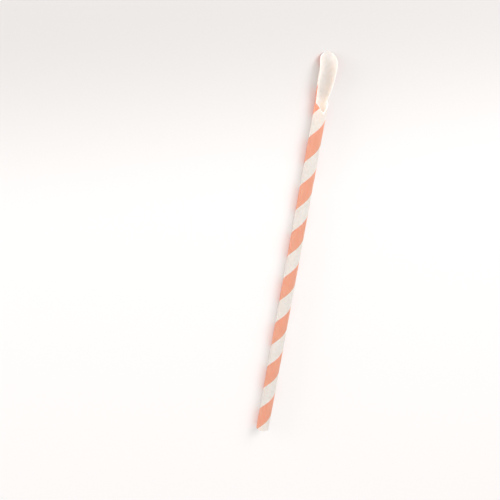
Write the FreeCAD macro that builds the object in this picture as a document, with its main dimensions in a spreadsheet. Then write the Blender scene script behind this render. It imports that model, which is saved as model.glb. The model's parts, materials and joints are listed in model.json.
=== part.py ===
"""Paper drinking straw with a spoon end: one spiral-wound paper tube, cut and pressed at one end.

The straw lies on its back along X. The plain end is at -X, the spoon's tip at +X, and the spoon opens
towards +Z. The origin is under the straw's middle, on the surface that it lies on. Lengths are in mm.
"""
import FreeCAD, Part
import math
import os

import Sketcher
from FreeCAD import Vector

# Driving dimensions: name, value, what it measures
SIZES = [
    ("straw_length", 197.0, "plain end to the tip of the spoon"),
    ("outer_diameter", 6.0, "outside of the paper tube"),
    ("wall_thickness", 0.4, "the wound and glued plies together"),
    ("spoon_length", 28.0, "from where the mouth's cut begins to the tip"),
    ("shoulder_length", 4.7, "how far the mouth's curved cut runs along the tube"),
    ("corner_radius", 0.5, "rounding where the shoulder meets the blade's edge"),
    ("cut_height", 2.9, "height over the table at which the tube is slit"),
    ("bowl_radius", 4.4, "outside of the spoon's half round trough, once it has flared"),
    ("tip_radius", 20.0, "inside radius of the curve at the very tip, which is pressed nearly flat"),
    ("tip_length", 8.0, "length over which the paper's edges round to the tip"),
    ("cut_margin", 2.0, "how far the mouth's cutting outline reaches past the paper"),
]
BLADE_SPANS = 9      # lofted spans between the slit tube and the tip
TIP_SPANS = 10       # lofted spans in the rounded tip
TIP_END = 0.003      # this share of the tip is left off its end, which so stays a little wide
FLARE_POWER = 3      # how soon the blade flares: more is sooner
PRESS_POWER = 12     # how late the tip is pressed flat: more is later

# Sizes that follow from the driving dimensions
TUBE_RADIUS = "(sizes.outer_diameter / 2)"
MEAN_RADIUS = "((sizes.outer_diameter - sizes.wall_thickness) / 2)"
BOWL_RADIUS = "(sizes.bowl_radius - sizes.wall_thickness / 2)"
FLAT_RADIUS = "(sizes.tip_radius + sizes.wall_thickness / 2)"
SLIT_ANGLE = f"acos(({TUBE_RADIUS} - sizes.cut_height) / {MEAN_RADIUS})"
MOUTH = "(sizes.straw_length - sizes.spoon_length)"
BLADE_START = f"({MOUTH} + sizes.shoulder_length + sizes.corner_radius)"
BLADE_LENGTH = f"(sizes.straw_length - {BLADE_START})"
TIP_SHARE = f"(sizes.tip_length / {BLADE_LENGTH})"

# Places in a sketch: the ends and centre of a curve, the sketch's own axes and its origin
START, END, CENTRE = range(1, 4)
LEVEL_AXIS, UPRIGHT_AXIS = -1, -2
ORIGIN = (LEVEL_AXIS, START)


def make_sizes(document):
    """The sheet that holds every driving dimension under its name."""
    sheet = document.addObject("Spreadsheet::Sheet", "sizes")
    for row, (name, size, meaning) in enumerate(SIZES, start=1):
        sheet.set(f"A{row}", name)
        sheet.set(f"B{row}", str(size))
        sheet.setAlias(f"B{row}", name)
        sheet.set(f"C{row}", meaning)
    document.recompute()
    return sheet


def value(body, expression):
    """The number that an expression gives now, for drawing an outline near its final place."""
    result = body.evalExpression(expression)
    return getattr(result, "Value", result)


def origin_plane(body, role):
    """One of the body's own origin planes."""
    return next(plane for plane in body.Origin.OriginFeatures if plane.Role == role)


def new_sketch(body, name, role, offset=None):
    """A sketch on an origin plane of the body, moved off it by an expression."""
    sketch = body.newObject("Sketcher::SketchObject", name)
    sketch.AttachmentSupport = [(origin_plane(body, role), "")]
    sketch.MapMode = "FlatFace"
    if offset:
        sketch.setExpression("AttachmentOffset.Base.z", offset)
    return sketch


def bind(sketch, name, expression, kind, *places):
    """Add a size to the sketch and tie it to the sheet."""
    index = sketch.addConstraint(Sketcher.Constraint(kind, *places, value(sketch, expression)))
    sketch.renameConstraint(index, name)
    sketch.setExpression(f"Constraints.{name}", expression)


def join(sketch, *pairs):
    """Make pairs of end points meet."""
    for first, second in pairs:
        sketch.addConstraint(Sketcher.Constraint("Coincident", *first, *second))


def ellipse_arc(sketch, centre, along, up, start, end):
    """Part of an ellipse between two angles from its right, and its level and upright axes as lines."""
    right, top = centre + Vector(along, 0), centre + Vector(0, up)
    upright = up > along
    if upright:
        ellipse = Part.Ellipse(top, centre - Vector(along, 0), centre)
        start, end = start - math.pi / 2, end - math.pi / 2
    else:
        ellipse = Part.Ellipse(right, top, centre)
    arc = sketch.addGeometry(Part.ArcOfEllipse(ellipse, start, end))
    sketch.exposeInternalGeometry(arc)
    long_axis, short_axis = arc + 1, arc + 2
    return (arc, short_axis, long_axis) if upright else (arc, long_axis, short_axis)


def tube_sketch(body):
    """The round section of the tube."""
    sketch = new_sketch(body, "tube_section", "YZ_Plane")
    for name, diameter in (
        ("outside", "sizes.outer_diameter"),
        ("inside", "sizes.outer_diameter - 2 * sizes.wall_thickness"),
    ):
        radius = value(body, diameter) / 2
        circle = sketch.addGeometry(Part.Circle(Vector(), Vector(0, 0, 1), radius))
        join(sketch, ((circle, CENTRE), ORIGIN))
        bind(sketch, name, diameter, "Diameter", circle)
    return sketch


def mouth_sketch(body):
    """What the mouth's cut takes away, seen from the side.

    The cut leaves the tube's top line, curves down as a quarter of an ellipse and turns through a small
    rounding into the blade's straight edge.
    """
    slit = f"(sizes.cut_height - {TUBE_RADIUS})"
    corner_centre = f"({slit} + sizes.corner_radius)"
    drop = f"({TUBE_RADIUS} - {corner_centre})"
    mouth, start = value(body, MOUTH), value(body, BLADE_START)
    top, low = value(body, TUBE_RADIUS), value(body, slit)
    above = top + value(body, "sizes.cut_margin")
    middle = value(body, corner_centre)
    length, height = value(body, "sizes.shoulder_length"), value(body, drop)
    rounding = value(body, "sizes.corner_radius")

    sketch = new_sketch(body, "mouth_outline", "XZ_Plane")
    shoulder, level_axis, upright_axis = ellipse_arc(
        sketch, Vector(mouth, middle), length, height, 0, math.pi / 2
    )
    circle = Part.Circle(Vector(start, low + rounding), Vector(0, 0, 1), rounding)
    corner = sketch.addGeometry(Part.ArcOfCircle(circle, math.pi, 1.5 * math.pi))
    end_edge, top_edge, mouth_edge = sketch.addGeometry([
        Part.LineSegment(Vector(start, low), Vector(start, above)),
        Part.LineSegment(Vector(start, above), Vector(mouth, above)),
        Part.LineSegment(Vector(mouth, above), Vector(mouth, top)),
    ])
    join(
        sketch,
        ((shoulder, START), (corner, START)),
        ((corner, END), (end_edge, START)),
        ((end_edge, END), (top_edge, START)),
        ((top_edge, END), (mouth_edge, START)),
        ((mouth_edge, END), (shoulder, END)),
    )
    for line in (level_axis, top_edge):
        sketch.addConstraint(Sketcher.Constraint("Horizontal", line))
    for line in (end_edge, mouth_edge):
        sketch.addConstraint(Sketcher.Constraint("Vertical", line))
    for first, second in (((shoulder, CENTRE), (shoulder, END)), ((corner, CENTRE), (corner, END))):
        sketch.addConstraint(Sketcher.Constraint("Vertical", *first, *second))
    for first, second in (((shoulder, CENTRE), (shoulder, START)), ((corner, CENTRE), (corner, START))):
        sketch.addConstraint(Sketcher.Constraint("Horizontal", *first, *second))
    bind(sketch, "mouth_place", MOUTH, "DistanceX", *ORIGIN, shoulder, CENTRE)
    bind(sketch, "tube_top", TUBE_RADIUS, "DistanceY", *ORIGIN, shoulder, END)
    bind(sketch, "shoulder_length", "2 * sizes.shoulder_length", "Distance", level_axis)
    bind(sketch, "shoulder_drop", f"2 * {drop}", "Distance", upright_axis)
    bind(sketch, "corner_radius", "sizes.corner_radius", "Radius", corner)
    bind(sketch, "margin", "sizes.cut_margin", "DistanceY", mouth_edge, END, mouth_edge, START)
    return sketch


def blade_curve(left):
    """Radius of the blade's middle layer and half its spread angle, where that share of its length is left.

    The slit tube flares like half a cone, quickly at first, with its edges as far round as at the slit.
    The last few millimetres are pressed towards flat. Laid flat, the paper ends in half an ellipse.
    """
    opened = f"(1 - {left} ^ {FLARE_POWER})"
    flared = f"({MEAN_RADIUS} + {opened} * ({BOWL_RADIUS} - {MEAN_RADIUS}))"
    pressed = f"((1 - {left}) ^ {PRESS_POWER})"
    radius = f"(1 / ((1 - {pressed}) / {flared} + {pressed} / {FLAT_RADIUS}))"
    into_tip = f"({TIP_END} + (1 - {TIP_END}) * min(1; {left} / {TIP_SHARE}))"
    kept = f"sqrt(1 - (1 - {into_tip}) ^ 2)"
    return radius, f"({SLIT_ANGLE} * {flared} / {radius} * {kept})"


def blade_places():
    """Shares of the blade's length left at its sections, which draw together at the end of the tip."""
    even = [f"(1 - {step} / {BLADE_SPANS} * (1 - {TIP_SHARE}))" for step in range(BLADE_SPANS)]
    drawn = [f"({TIP_SHARE} * (1 - sin({step} / {TIP_SPANS} * 90 deg)))" for step in range(TIP_SPANS + 1)]
    return even + drawn


def blade_sketch(body, name, left):
    """The blade's section, an arc of the wall, where that share of its length is left.

    The lowest line stays straight, in line with the tube's.
    """
    radius, half_spread = blade_curve(left)
    outside = f"({radius} + sizes.wall_thickness / 2)"
    inside = f"({radius} - sizes.wall_thickness / 2)"
    spread = f"(2 * {half_spread})"
    place = f"sizes.straw_length - {left} * {BLADE_LENGTH}"
    half_turn = math.radians(value(body, spread)) / 2
    down = 1.5 * math.pi
    centre = Vector(0, value(body, outside) - value(body, TUBE_RADIUS))

    sketch = new_sketch(body, name, "YZ_Plane", place)
    outer, inner = sketch.addGeometry([
        Part.ArcOfCircle(
            Part.Circle(centre, Vector(0, 0, 1), value(body, size)), down - half_turn, down + half_turn
        )
        for size in (outside, inside)
    ])
    corners = [sketch.getPoint(arc, end) for arc in (outer, inner) for end in (START, END)]
    left, right = sketch.addGeometry([
        Part.LineSegment(corners[0], corners[2]),
        Part.LineSegment(corners[3], corners[1]),
    ])
    back = sketch.addGeometry(Part.Point(Vector(0, -value(body, TUBE_RADIUS))), True)
    join(
        sketch,
        ((outer, CENTRE), (inner, CENTRE)),
        ((outer, START), (left, START)),
        ((left, END), (inner, START)),
        ((inner, END), (right, START)),
        ((right, END), (outer, END)),
    )
    sketch.addConstraint([
        Sketcher.Constraint("PointOnObject", outer, CENTRE, UPRIGHT_AXIS),
        Sketcher.Constraint("PointOnObject", back, START, UPRIGHT_AXIS),
        Sketcher.Constraint("PointOnObject", back, START, outer),
        Sketcher.Constraint("PointOnObject", outer, CENTRE, left),
        Sketcher.Constraint("PointOnObject", outer, CENTRE, right),
        Sketcher.Constraint("Horizontal", outer, START, outer, END),
    ])
    bind(sketch, "back_line", TUBE_RADIUS, "DistanceY", back, START, *ORIGIN)
    bind(sketch, "outside", outside, "Radius", outer)
    bind(sketch, "inside", inside, "Radius", inner)
    bind(sketch, "spread", spread, "Angle", outer)
    return sketch


def pad(body, name, sketch, length):
    """Extrude a section along +X."""
    feature = body.newObject("PartDesign::Pad", name)
    feature.Profile = sketch
    feature.setExpression("Length", length)
    return feature


def cut_through(body, name, sketch):
    """Cut an outline through the whole body, both ways from its plane."""
    feature = body.newObject("PartDesign::Pocket", name)
    feature.Profile = sketch
    feature.Type = "ThroughAll"
    feature.SideType = "Symmetric"
    return feature


def paper_straw(document):
    """The whole straw: round tube, mouth, and the blade flared into a half round spoon."""
    body = document.addObject("PartDesign::Body", "paper_straw")
    body.Label = "paper_straw"
    body.setExpression("Placement.Base.x", "-sizes.straw_length / 2")
    body.setExpression("Placement.Base.z", TUBE_RADIUS)

    pad(body, "tube", tube_sketch(body), BLADE_START)
    cut_through(body, "mouth", mouth_sketch(body))
    sections = [
        blade_sketch(body, f"blade_section_{number}", left)
        for number, left in enumerate(blade_places())
    ]
    blade = body.newObject("PartDesign::AdditiveLoft", "blade")
    blade.Profile = sections[0]
    blade.Sections = sections[1:]
    return body


def check(document, body):
    """Stop if a feature failed, added or cut nothing, or the solid isn't sound."""
    for item in document.Objects:
        if "Invalid" in item.State or "Error" in item.State:
            raise RuntimeError(f"{item.Name} failed: {item.State}")
    before = 0.0
    for name, adds in (("tube", 1), ("mouth", -1), ("blade", 1)):
        volume = document.getObject(name).Shape.Volume
        if adds * (volume - before) <= 0:
            raise RuntimeError(f"{name} changed the volume from {before:.1f} to {volume:.1f}")
        before = volume
    shape = body.Shape
    if shape.isNull() or not shape.isValid() or len(shape.Solids) != 1:
        raise RuntimeError(f"{body.Label} isn't one sound solid")


def main():
    document = FreeCAD.newDocument("straw")
    make_sizes(document)
    body = paper_straw(document)
    document.recompute()
    check(document, body)
    os.makedirs("parts", exist_ok=True)
    body.Shape.exportStep(f"parts/{body.Label}.step")
    print(f"{body.Label}: {body.Shape.Volume:.1f} mm3 of paper")


main()
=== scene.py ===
"""Looks of a paper drinking straw with a spoon end, lying on its back with the spoon's tip at +X.

The straw is one sheet of paper. Every point of it is worked out flat first, as an arc across the sheet,
a place along it and a depth through it, and is then wound into the tube and the opened spoon. The arc
is counted from the lowest line, the place along from the plain end, and the depth outwards from the
middle of the wall. Lengths are in millimetres up to the moment a mesh, lamp or camera is made.
"""

import json
import math

import bmesh
import bpy
from mathutils import Matrix, Vector, noise

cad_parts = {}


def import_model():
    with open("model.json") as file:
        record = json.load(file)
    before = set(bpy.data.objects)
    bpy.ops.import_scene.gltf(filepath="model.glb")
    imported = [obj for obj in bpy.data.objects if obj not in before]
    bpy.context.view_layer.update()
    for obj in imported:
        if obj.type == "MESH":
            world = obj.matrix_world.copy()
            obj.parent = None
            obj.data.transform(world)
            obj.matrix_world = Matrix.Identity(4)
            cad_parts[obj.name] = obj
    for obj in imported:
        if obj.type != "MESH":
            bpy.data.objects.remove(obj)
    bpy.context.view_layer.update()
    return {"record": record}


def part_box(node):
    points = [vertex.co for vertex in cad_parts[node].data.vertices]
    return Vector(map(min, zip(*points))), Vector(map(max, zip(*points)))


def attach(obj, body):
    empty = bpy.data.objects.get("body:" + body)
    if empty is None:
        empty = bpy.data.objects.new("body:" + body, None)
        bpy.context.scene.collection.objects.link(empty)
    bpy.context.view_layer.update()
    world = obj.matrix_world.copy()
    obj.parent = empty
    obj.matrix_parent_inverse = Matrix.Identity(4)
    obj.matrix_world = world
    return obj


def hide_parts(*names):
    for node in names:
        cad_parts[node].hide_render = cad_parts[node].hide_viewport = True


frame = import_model()

MM = 0.001
NODE = "paper_straw"

# The tube, as the frame gives it
low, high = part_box(NODE)
mounts = {mount["name"]: mount["dims"] for mount in frame["record"]["mounts"]}
PLAIN_END = low.x / MM
LENGTH = (high.x - low.x) / MM
TUBE_RADIUS = mounts["tube"]["r_mm"]
BORE_RADIUS = mounts["bore"]["r_mm"]
MOUTH = mounts["tube"]["length_mm"]    # from the plain end to where the mouth's cut begins
WALL = TUBE_RADIUS - BORE_RADIUS
SKIN = WALL / 2         # from the middle of the wall to each face
MIDDLE_RADIUS = TUBE_RADIUS - SKIN
ROUND = 2 * math.pi * MIDDLE_RADIUS

# The spoon. The mouth is the cut that opens the tube into it
SHOULDER_LENGTH = 4.7
CORNER_RADIUS = 0.5
SLIT_HEIGHT = 2.9
BOWL_RADIUS = 4.4       # outside of the half round trough, once it has flared
TIP_RADIUS = 20.0       # inside of the very tip, which is pressed nearly flat
TIP_LENGTH = 8.0        # over which the paper's edges round to the tip
FLARE_POWER = 3         # how soon the blade flares: more is sooner
PRESS_POWER = 12        # how late the tip is pressed flat: more is later
CUT_LEAN = 0.1          # the mouth's cut comes through the wall this far below the tube's top
CORNER_HEIGHT = SLIT_HEIGHT + CORNER_RADIUS
SHOULDER_DROP = 2 * TUBE_RADIUS - CORNER_HEIGHT
BLADE_START = MOUTH + SHOULDER_LENGTH + CORNER_RADIUS
BLADE_LENGTH = LENGTH - BLADE_START
TIP_START = LENGTH - TIP_LENGTH
SLIT_ANGLE = math.acos((TUBE_RADIUS - SLIT_HEIGHT) / MIDDLE_RADIUS)

# The winding and the print
LEAD = 24.15            # along the straw in one turn of the paper strip
CORAL_SHARE = 0.52      # of the strip's width
CORAL_EDGE = 151.2      # where the coral's edge on the spoon's side crosses the lowest line
INNER_TURN = 0.36       # of a turn from the outer ply's seam back to the inner one's
OUTER_SEAM = CORAL_EDGE - CORAL_SHARE * LEAD
INNER_SEAM = OUTER_SEAM - INNER_TURN * LEAD
STRIP_SLOPE = LEAD / ROUND
ACROSS_STRIP = math.cos(math.atan(STRIP_SLOPE))    # from a length along the straw to one across the strip
PLIES = 3

# The mesh
COLUMNS = 96
TUBE_ROWS = 260
SHOULDER_ROWS = 9
CORNER_ROWS = 4
BLADE_ROWS = 72
EDGE_STEPS = 9
LAP_HEIGHT = 0.05       # how far the outer ply's edge stands over the next turn
LAP_FADE = 5.0          # over this length of arc the step eases away
FORM_FADE = 14.0        # the press flattens the lap over this length before the mouth
UNEVEN = 0.03           # how far the paper's surface wanders inwards
UNEVEN_SIZE = 5.0
PLY_RELIEF = 0.02       # how far the glue lines stand back in a cut edge
WELD = 0.0004           # points closer than this are one

# The finish. Colours are linear
CORAL = (0.98, 0.41, 0.275, 1)
DEEP_CORAL = (0.95, 0.36, 0.235, 1)
PAPER = (0.90, 0.80, 0.735, 1)
SHADED_PAPER = (0.85, 0.75, 0.68, 1)
INNER_PAPER = (0.905, 0.82, 0.765, 1)
SHADED_INNER_PAPER = (0.87, 0.78, 0.72, 1)
CUT_PAPER = (0.96, 0.94, 0.90, 1)
# the glue between the plies, and the painted shade on the inner seam's line
GLUE_AND_SEAM_SHADE = (0.74, 0.66, 0.57, 1)
# painted shade for the outer seam's line, as if its gap were in shadow
SEAM_PAINTED_SHADE = (0.62, 0.36, 0.26, 1)
WHITE = (1.0, 1.0, 1.0, 1)
INK_WANDER = 0.08       # how far a printed edge strays
INK_SOAK = 0.10         # how softly it ends
SEAM_WIDTH = 0.14
OUTER_SEAM_SHOWS = 0.5  # share of the painted shade on the outer seam's line
INNER_SEAM_SHOWS = 0.3
GLUE_SHOWS = 0.7
FIBRE = 0.22            # size of the fibres' grain
CLOUD = 1.6             # size of the paper's clouds
FIBRE_DETAIL = 4.0
CLOUD_DETAIL = 3.0
WANDER_DETAIL = 2.0
PAPER_SPAN = (0.3, 0.7)    # of a noise, over which the paper's shade or roughness changes
INK_SPAN = (0.25, 0.75)    # the same for the coral ink's shade
BUMP_DEPTH = 0.012      # of the fibres
CLOUD_DEPTH = 0.6       # of the clouds, as a share of the fibres'
LINE_DEPTH = 2.0        # of a seam or glue line, the same way
PRINTED_ROUGHNESS = 0.52
PLAIN_ROUGHNESS = 0.62
CUT_ROUGHNESS = 0.75
ROUGHNESS_SPREAD = 0.06    # more and less with the fibres
GLOW_WEIGHT = 0.8       # how much of the light goes into the paper before it comes out
GLOW_DEPTH = 0.8        # how far it gets there
GLOW_TINT = (1.0, 0.86, 0.76)
NECK_GLOW = 0.20        # painted glow in the neck of the spoon, standing in for light that the thin wall lets in
NECK_GLOW_TINT = (1.0, 0.92, 0.84, 1)
NECK_GLOW_RISE = (-5.0, 0.5)    # it begins and is full this far past the start of the mouth
NECK_GLOW_FALL = (1.5, 8.5)     # and starts to fade and ends

# The cut edge through its depth, where the middle of the wall is 0 and its faces are 1 and -1
GLUE_WIDTH = 0.08
GLUE_ENDS = (0.8, 0.9)     # no glue line is near a face
INK_FILM = (0.86, 0.94)    # the print's thin film begins and is full

# The camera, as it stood to the photographed straw
CAMERA_ABOVE = 28.06    # degrees above square on to the straw, towards its tip
CAMERA_TURN = 31.43     # degrees round from the mouth's middle
CAMERA_ROLL = 9.63      # degrees that the straw leans to the right
CAMERA_DISTANCE = 900.0
PICTURE = 500           # pixels
PICTURE_SCALE = 2.174   # pixels to a millimetre at the straw's middle
MIDDLE_AT = (294.7, 250.7)    # the straw's middle, in pixels from the picture's top left
SENSOR = 36.0

# The light and the floor. A lamp's direction from the straw is given as right, up and back of the camera
LAMPS = (
    ("left_lamp", (-0.75, 0.25, 0.6), 6.5),
    ("right_lamp", (0.75, 0.3, 0.6), 3.9),
)
LAMP_SIZE = 600.0
LAMP_DISTANCE = 900.0
WORLD_STRENGTH = 0.72
FLOOR_SIZE = 20000.0
FLOOR = (0.77, 0.74, 0.725, 1)
FLOOR_FADE = (20.0, 125.0)    # along the straw, from the brighter floor to the greyer one
FLOOR_LIFT = 0.24             # light that the camera sees on top
FAR_FLOOR_LIFT = 0.01


def blade_left(along):
    """The share of the blade's length from that place to the tip."""
    return min(1.0, (LENGTH - along) / BLADE_LENGTH)


def flared_radius(along):
    """Radius of the paper's middle layer in the tube and the flaring blade, before the tip is pressed."""
    flare = BOWL_RADIUS - SKIN - MIDDLE_RADIUS
    return MIDDLE_RADIUS + (1 - blade_left(along) ** FLARE_POWER) * flare


def sheet_radius(along):
    """Radius of the paper's middle layer, easing into the flatter curve of the pressed tip."""
    pressed = (1 - blade_left(along)) ** PRESS_POWER
    return 1 / ((1 - pressed) / flared_radius(along) + pressed / (TIP_RADIUS + SKIN))


def wound(arc, along, depth):
    """Where a point of the flat sheet comes to lie on the straw, in metres."""
    radius = sheet_radius(along)
    turn = arc / radius
    reach = radius + depth
    across = reach * math.sin(turn)
    height = radius + SKIN - reach * math.cos(turn)
    return Vector((PLAIN_END + along, across, height)) * MM


def cut_height(along):
    """Height of the mouth's cut over the floor, seen from the side."""
    past = along - MOUTH
    if past <= 0:
        return 2 * TUBE_RADIUS
    if past < SHOULDER_LENGTH:
        return CORNER_HEIGHT + SHOULDER_DROP * math.sqrt(1 - (past / SHOULDER_LENGTH) ** 2)
    left = max(0.0, BLADE_START - along)
    return CORNER_HEIGHT - math.sqrt(CORNER_RADIUS ** 2 - left ** 2)


def cut_floor(along):
    """The depth that the mouth's cut reaches. Where it begins, it hasn't come through the wall yet."""
    return SKIN - (2 * TUBE_RADIUS - cut_height(along)) * WALL / CUT_LEAN


def half_sheet(along, depth):
    """How far the sheet reaches to either side of the lowest line."""
    if along >= BLADE_START:
        return SLIT_ANGLE * flared_radius(along)
    reach = TUBE_RADIUS - CUT_LEAN * (SKIN - depth) / WALL
    level = (TUBE_RADIUS - cut_height(along)) / reach
    return MIDDLE_RADIUS * math.acos(max(-1.0, level))


def tip_reach(side):
    """How far along a column of the sheet goes. Laid flat, the tip is half an ellipse."""
    return TIP_START + TIP_LENGTH * math.sqrt(1 - side ** 2)


def spread(start, end, count):
    """Evenly spaced values from start to end."""
    return [start + (end - start) * step / count for step in range(count + 1)]


def smooth(share):
    """Eases from 0 to 1."""
    share = min(1.0, max(0.0, share))
    return share ** 2 * (3 - 2 * share)


def mouth_places():
    """Places along the mouth's cut, closest together where it is steep. One is where the bore opens."""
    opening = math.acos((2 * TUBE_RADIUS - CUT_LEAN - CORNER_HEIGHT) / SHOULDER_DROP)
    turns = spread(0, opening, SHOULDER_ROWS) + spread(opening, math.pi / 2, 2 * SHOULDER_ROWS)[1:]
    shoulder = [MOUTH + SHOULDER_LENGTH * math.sin(turn) for turn in turns]
    corner = [
        BLADE_START - CORNER_RADIUS * math.cos(turn)
        for turn in spread(0, math.pi / 2, CORNER_ROWS)
    ]
    return shoulder + corner[1:]


def opened_columns(along, depth):
    """Arcs of the columns. They draw together at the edges where the blade starts, to round the tip."""
    half = half_sheet(along, depth)
    share = smooth((along - MOUTH) / (BLADE_START - MOUTH))
    return [
        half * ((1 - share) * side + share * math.sin(side * math.pi / 2))
        for side in spread(-1, 1, COLUMNS)
    ]


def lap(arc, along, seam):
    """How far the ply stands back here: a step at its seam, which eases away round the tube."""
    past = (along - arc * STRIP_SLOPE - seam) % LEAD / STRIP_SLOPE
    return LAP_HEIGHT * (1 - smooth(past / LAP_FADE)) * smooth((MOUTH - along) / FORM_FADE)


def tube_rows(face, seam):
    """Rows of one face along the tube. The columns follow the winding, and so does the ply's edge."""
    rows = []
    for along in spread(0, MOUTH, TUBE_ROWS):
        wind = (along - MOUTH) / STRIP_SLOPE
        arcs = [arc + wind for arc in opened_columns(MOUTH, face * SKIN)]
        rows.append([(arc, along, face * (SKIN - lap(arc, along, seam))) for arc in arcs])
    return rows


def mouth_rows(face):
    """Rows of one face along the mouth's cut."""
    depth = face * SKIN
    return [
        [(arc, along, depth) for arc in opened_columns(along, depth)]
        for along in mouth_places()[1:]
    ]


def blade_rows(face):
    """Rows of one face along the blade. Each column is divided evenly up to its own end at the tip."""
    depth = face * SKIN
    sides = [math.sin(side * math.pi / 2) for side in spread(-1, 1, COLUMNS)]
    rows = []
    for share in spread(0, 1, BLADE_ROWS)[1:]:
        row = []
        for side in sides:
            along = BLADE_START + share * (tip_reach(side) - BLADE_START)
            row.append((side * half_sheet(along, depth), along, depth))
        rows.append(row)
    return rows


def surface_rows(face, seam):
    """One face of the whole sheet: the outer one for 1 and the inner one for -1."""
    return tube_rows(face, seam) + mouth_rows(face) + blade_rows(face)


def edge_chain(rows):
    """The cut's points up one side of the spoon, round its tip and down the other.

    Each comes with its neighbour in the sheet.
    """
    opened = rows[TUBE_ROWS:]
    left = [(row[0], row[1]) for row in opened[:-1]]
    tip = list(zip(opened[-1], opened[-2]))
    right = [(row[-1], row[-2]) for row in reversed(opened[:-1])]
    return left + tip + right


def through_wall(outer, inner, inwards):
    """Points from the outer face to the inner one, with the glue lines between the plies set back."""
    row = []
    for step in range(EDGE_STEPS + 1):
        point = Vector(outer).lerp(Vector(inner), step / EDGE_STEPS)
        glued = 0 < step < EDGE_STEPS and step % (EDGE_STEPS // PLIES) == 0
        row.append(tuple(point + inwards * PLY_RELIEF * glued))
    return row


def spoon_edge_rows(outer_rows, inner_rows):
    """The cut edge all round the spoon."""
    rows = []
    for (outer, beside), (inner, _) in zip(edge_chain(outer_rows), edge_chain(inner_rows)):
        arc, along, depth = inner
        inner = (arc, along, max(depth, cut_floor(along)))
        inwards = Vector(beside) - Vector(outer)
        inwards.z = 0
        rows.append(through_wall(outer, inner, inwards.normalized()))
    return rows


def plain_end_rows(outer_rows, inner_rows):
    """The square cut at the plain end."""
    inwards = Vector((0, 1, 0))
    return [through_wall(outer, inner, inwards) for outer, inner in zip(outer_rows[0], inner_rows[0])]


def laid(arc, along, depth):
    """A point of the wound sheet, with the paper's slight unevenness. It only moves inwards."""
    spot = wound(arc, along, depth) / (UNEVEN_SIZE * MM)
    return wound(arc, along, depth - UNEVEN * (1 + noise.noise(spot)) / 2)


def add_grid(mesh, rows, kind):
    """Faces over rows of sheet points. Each corner keeps its place on the flat sheet for the print."""
    flat = mesh.loops.layers.uv["sheet"]
    through = mesh.verts.layers.float["depth"]
    grid = []
    for row in rows:
        line = []
        for arc, along, depth in row:
            vertex = mesh.verts.new(laid(arc, along, depth))
            vertex[through] = depth / SKIN
            line.append((vertex, (arc, along)))
        grid.append(line)
    for lower, upper in zip(grid, grid[1:]):
        for corners in zip(lower, lower[1:], upper[1:], upper):
            face = mesh.faces.new([vertex for vertex, place in corners])
            face.material_index = kind
            face.smooth = True
            for loop, (vertex, place) in zip(face.loops, corners):
                loop[flat].uv = place


def put(name, data):
    """A new object in the scene that shows this mesh, lamp or camera."""
    item = bpy.data.objects.new(name, data)
    bpy.context.scene.collection.objects.link(item)
    return item


def paper_straw(materials):
    """The whole straw as one closed mesh: outer face, inner face and the cut edges between them."""
    outer_rows = surface_rows(1, OUTER_SEAM)
    inner_rows = surface_rows(-1, INNER_SEAM)
    printed, plain, cut = range(3)
    mesh = bmesh.new()
    mesh.loops.layers.uv.new("sheet")
    mesh.verts.layers.float.new("depth")
    add_grid(mesh, outer_rows, printed)
    add_grid(mesh, inner_rows, plain)
    add_grid(mesh, spoon_edge_rows(outer_rows, inner_rows), cut)
    add_grid(mesh, plain_end_rows(outer_rows, inner_rows), cut)
    bmesh.ops.remove_doubles(mesh, verts=mesh.verts, dist=WELD * MM)
    bmesh.ops.recalc_face_normals(mesh, faces=mesh.faces)
    for edge in mesh.edges:
        kinds = {face.material_index for face in edge.link_faces}
        edge.smooth = len(kinds) == 1
    data = bpy.data.meshes.new("straw_paper")
    mesh.to_mesh(data)
    mesh.free()
    for material in materials:
        data.materials.append(material)
    return put("straw_paper", data)


class Shading:
    """The nodes of a material or of the world, added one by one."""

    def __init__(self, owner, output="OutputMaterial"):
        owner.use_nodes = True
        self.owner = owner
        self.tree = owner.node_tree
        self.tree.nodes.clear()
        self.output = self.node(output)

    def node(self, kind, settings=None, **inputs):
        """A node of that kind. An input is a number, a colour or another node's output.

        Its name is the socket's, with _ for a blank, or _ and the socket's number.
        """
        node = self.tree.nodes.new("ShaderNode" + kind)
        for name, setting in (settings or {}).items():
            setattr(node, name, setting)
        for name, given in inputs.items():
            numbered = name[1:].isdigit()
            socket = node.inputs[int(name[1:]) if numbered else name.replace("_", " ")]
            if isinstance(given, bpy.types.NodeSocket):
                self.tree.links.new(given, socket)
            else:
                socket.default_value = given
        return node

    def show(self, node):
        """Give the owner the look that this node makes."""
        self.tree.links.new(node.outputs[0], self.output.inputs[0])

    def math(self, operation, first, second=0.0, third=0.0):
        """The result of one sum."""
        return self.node("Math", {"operation": operation}, _0=first, _1=second, _2=third).outputs[0]

    def mix(self, share, first, second):
        """A colour between two."""
        node = self.node("Mix", {"data_type": "RGBA"}, _0=share, _6=first, _7=second)
        return node.outputs[2]

    def ease(self, given, low, high, start=0.0, end=1.0):
        """From start to end, smoothly, as what is given goes from low to high."""
        node = self.node(
            "MapRange", {"interpolation_type": "SMOOTHSTEP"},
            Value=given, From_Min=low, From_Max=high, To_Min=start, To_Max=end,
        )
        return node.outputs[0]

    def grain(self, size, detail):
        """Noise with grains of about that size, from 0 to 1."""
        where = self.node("TexCoord").outputs["Object"]
        scaled = self.node("Mapping", Vector=where, Scale=[1 / (size * MM)] * 3)
        return self.node("TexNoise", Vector=scaled.outputs[0], Scale=1.0, Detail=detail).outputs["Fac"]

    def fibres(self):
        """Noise of the paper's fibres."""
        return self.grain(FIBRE, FIBRE_DETAIL)

    def clouds(self):
        """Noise of the paper's clouds."""
        return self.grain(CLOUD, CLOUD_DETAIL)

    def on_sheet(self):
        """The arc across the flat sheet and the place along it."""
        flat = self.node("UVMap", {"uv_map": "sheet"}).outputs[0]
        arc, along, _ = self.node("SeparateXYZ", Vector=flat).outputs
        return arc, along


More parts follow.
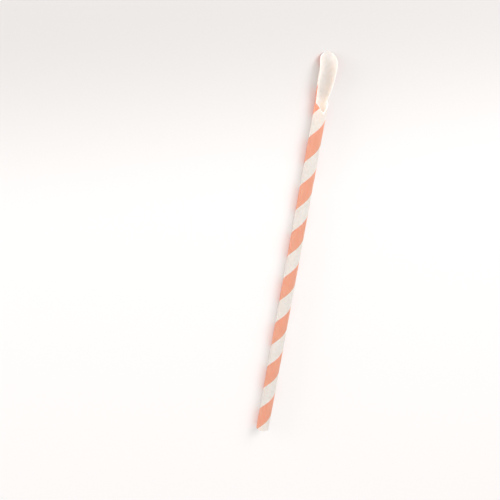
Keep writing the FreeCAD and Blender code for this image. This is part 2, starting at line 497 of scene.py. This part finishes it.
def across_strip(shading, seam):
    """How far a point lies across the wound strip from its seam."""
    arc, along = shading.on_sheet()
    unwound = shading.math("MULTIPLY_ADD", arc, -STRIP_SLOPE, along)
    past = shading.math("SUBTRACT", unwound, seam)
    return shading.math("MULTIPLY", shading.math("FLOORED_MODULO", past, LEAD), ACROSS_STRIP)


def coral_share(shading, across):
    """1 in the coral stripe and 0 in the bare paper, with a slightly soaked edge."""
    wander = shading.grain(CLOUD, WANDER_DETAIL)
    stray = shading.math("MULTIPLY_ADD", wander, INK_WANDER, -INK_WANDER / 2)
    edge = CORAL_SHARE * LEAD * ACROSS_STRIP
    return shading.ease(shading.math("ADD", across, stray), edge - INK_SOAK, edge, 1.0, 0.0)


def crease(shading, across):
    """1 on the fine line where the strip's edges meet, and 0 beside it."""
    return shading.ease(across, SEAM_WIDTH / 3, SEAM_WIDTH, 1.0, 0.0)


def paper_surface(shading, colour, line, roughness):
    """A matt sheet with fibres, faint clouds and a pressed-in line."""
    fibres = shading.fibres()
    relief = shading.math("MULTIPLY_ADD", shading.clouds(), CLOUD_DEPTH, fibres)
    relief = shading.math("MULTIPLY_ADD", line, -LINE_DEPTH, relief)
    bump = shading.node("Bump", Strength=1.0, Distance=BUMP_DEPTH * MM, Height=relief)
    smoothest, roughest = roughness - ROUGHNESS_SPREAD, roughness + ROUGHNESS_SPREAD
    dull = shading.ease(fibres, *PAPER_SPAN, smoothest, roughest)
    surface = shading.node(
        "BsdfPrincipled", Base_Color=colour, Roughness=dull, Normal=bump.outputs[0],
        Subsurface_Weight=GLOW_WEIGHT, Subsurface_Scale=GLOW_DEPTH * MM, Subsurface_Radius=GLOW_TINT,
    )
    shading.show(surface)
    return surface


def printed_paper():
    """The outer face: white paper with one coral stripe, wound in step with the strip."""
    shading = Shading(bpy.data.materials.new("printed_paper"))
    across = across_strip(shading, OUTER_SEAM)
    line = crease(shading, across)
    paper = shading.mix(shading.ease(shading.clouds(), *PAPER_SPAN), SHADED_PAPER, PAPER)
    ink = shading.mix(shading.ease(shading.fibres(), *INK_SPAN), DEEP_CORAL, CORAL)
    colour = shading.mix(coral_share(shading, across), paper, ink)
    # Painted shade along the seam's pressed-in line
    colour = shading.mix(shading.math("MULTIPLY", line, OUTER_SEAM_SHOWS), colour, SEAM_PAINTED_SHADE)
    paper_surface(shading, colour, line, PRINTED_ROUGHNESS)
    return shading.owner


def neck_glow(shading):
    """Painted glow in the neck of the spoon and nowhere else, standing in for light through the wall."""
    _, along = shading.on_sheet()
    rise = shading.ease(along, *(MOUTH + place for place in NECK_GLOW_RISE))
    fall = shading.ease(along, *(MOUTH + place for place in NECK_GLOW_FALL), 1.0, 0.0)
    return shading.math("MULTIPLY", shading.math("MULTIPLY", rise, fall), NECK_GLOW)


def plain_paper():
    """The inner face: bare paper with its own seam."""
    shading = Shading(bpy.data.materials.new("plain_paper"))
    line = crease(shading, across_strip(shading, INNER_SEAM))
    clouds = shading.ease(shading.clouds(), *PAPER_SPAN)
    colour = shading.mix(clouds, SHADED_INNER_PAPER, INNER_PAPER)
    # Painted shade along the inner seam's pressed-in line, in the glue's colour
    colour = shading.mix(shading.math("MULTIPLY", line, INNER_SEAM_SHOWS), colour, GLUE_AND_SEAM_SHADE)
    surface = paper_surface(shading, colour, line, PLAIN_ROUGHNESS)
    # Painted glow: the inner face gives off light in the neck of the spoon
    surface.inputs["Emission Color"].default_value = NECK_GLOW_TINT
    shading.tree.links.new(neck_glow(shading), surface.inputs["Emission Strength"])
    return shading.owner


def cut_paper():
    """The cut edge: white plies, the glue lines between them, and the print's thin film outside."""
    shading = Shading(bpy.data.materials.new("cut_paper"))
    depth = shading.node("Attribute", {"attribute_name": "depth"}).outputs["Fac"]
    ply = shading.math("PINGPONG", shading.math("ADD", depth, 1.0), 1 / PLIES)
    glued = shading.ease(ply, 1 / PLIES - GLUE_WIDTH, 1 / PLIES, 0.0, GLUE_SHOWS)
    inside = shading.ease(shading.math("ABSOLUTE", depth), *GLUE_ENDS, 1.0, 0.0)
    colour = shading.mix(shading.math("MULTIPLY", glued, inside), CUT_PAPER, GLUE_AND_SEAM_SHADE)
    stripe = coral_share(shading, across_strip(shading, OUTER_SEAM))
    ink = shading.math("MULTIPLY", shading.ease(depth, *INK_FILM), stripe)
    colour = shading.mix(ink, colour, CORAL)
    paper_surface(shading, colour, glued, CUT_ROUGHNESS)
    return shading.owner


def camera_axes():
    """Right, up and back of the camera, from how it stood to the straw."""
    above, turn, roll = (math.radians(angle) for angle in (CAMERA_ABOVE, CAMERA_TURN, CAMERA_ROLL))
    along = Vector((1, 0, 0))
    facing = Vector((0, math.sin(turn), math.cos(turn)))
    back = along * math.sin(above) + facing * math.cos(above)
    up = (along - back * along.dot(back)).normalized()
    right = up.cross(back)
    return (
        right * math.cos(roll) + up * math.sin(roll),
        up * math.cos(roll) - right * math.sin(roll),
        back,
    )


def camera():
    """The camera, at the photograph's angle and framing."""
    right, up, back = camera_axes()
    middle = Vector((0, 0, TUBE_RADIUS))
    shift_right = (MIDDLE_AT[0] - PICTURE / 2) / PICTURE_SCALE
    shift_up = (PICTURE / 2 - MIDDLE_AT[1]) / PICTURE_SCALE
    place = middle - right * shift_right - up * shift_up + back * CAMERA_DISTANCE
    data = bpy.data.cameras.new("camera")
    data.sensor_width = SENSOR
    data.lens = PICTURE_SCALE * CAMERA_DISTANCE / PICTURE * SENSOR
    item = put("camera", data)
    item.matrix_world = Matrix.Translation(place * MM) @ Matrix((right, up, back)).transposed().to_4x4()
    bpy.context.scene.camera = item


def lamp(name, towards, power):
    """A soft square lamp that shines on the straw from that direction."""
    direction = sum((axis * share for axis, share in zip(camera_axes(), towards)), Vector()).normalized()
    data = bpy.data.lights.new(name, "AREA")
    data.energy = power
    data.size = LAMP_SIZE * MM
    item = put(name, data)
    item.location = direction * LAMP_DISTANCE * MM
    item.rotation_mode = "QUATERNION"
    item.rotation_quaternion = direction.to_track_quat("Z", "Y")


def world():
    """Even light from all round, and white where the camera sees past the floor."""
    made = bpy.data.worlds.new("world")
    bpy.context.scene.world = made
    shading = Shading(made, "OutputWorld")
    light = shading.node("Background", Color=WHITE, Strength=WORLD_STRENGTH)
    white = shading.node("Background", Color=WHITE, Strength=1.0)
    seen = shading.node("LightPath").outputs["Is Camera Ray"]
    shading.show(shading.node("MixShader", _0=seen, _1=light.outputs[0], _2=white.outputs[0]))


def floor():
    """A plain pale floor that the camera sees nearly white, a little greyer past the spoon."""
    shading = Shading(bpy.data.materials.new("floor"))
    where = shading.node("TexCoord").outputs["Object"]
    along = shading.node("SeparateXYZ", Vector=where).outputs["X"]
    lift = shading.ease(along, *(place * MM for place in FLOOR_FADE), FLOOR_LIFT, FAR_FLOOR_LIFT)
    seen = shading.node("LightPath").outputs["Is Camera Ray"]
    glow = shading.node("Emission", Color=WHITE, Strength=shading.math("MULTIPLY", lift, seen))
    matt = shading.node("BsdfDiffuse", Color=FLOOR)
    shading.show(shading.node("AddShader", _0=matt.outputs[0], _1=glow.outputs[0]))

    half = FLOOR_SIZE / 2 * MM
    data = bpy.data.meshes.new("floor")
    corners = [(-half, -half, 0), (half, -half, 0), (half, half, 0), (-half, half, 0)]
    data.from_pydata(corners, [], [range(4)])
    data.materials.append(shading.owner)
    item = put("floor", data)


straw = paper_straw((printed_paper(), plain_paper(), cut_paper()))
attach(straw, "root")
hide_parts(NODE)
floor()
world()
for name, towards, power in LAMPS:
    lamp(name, towards, power)
camera()
bpy.context.scene.view_settings.view_transform = "Standard"
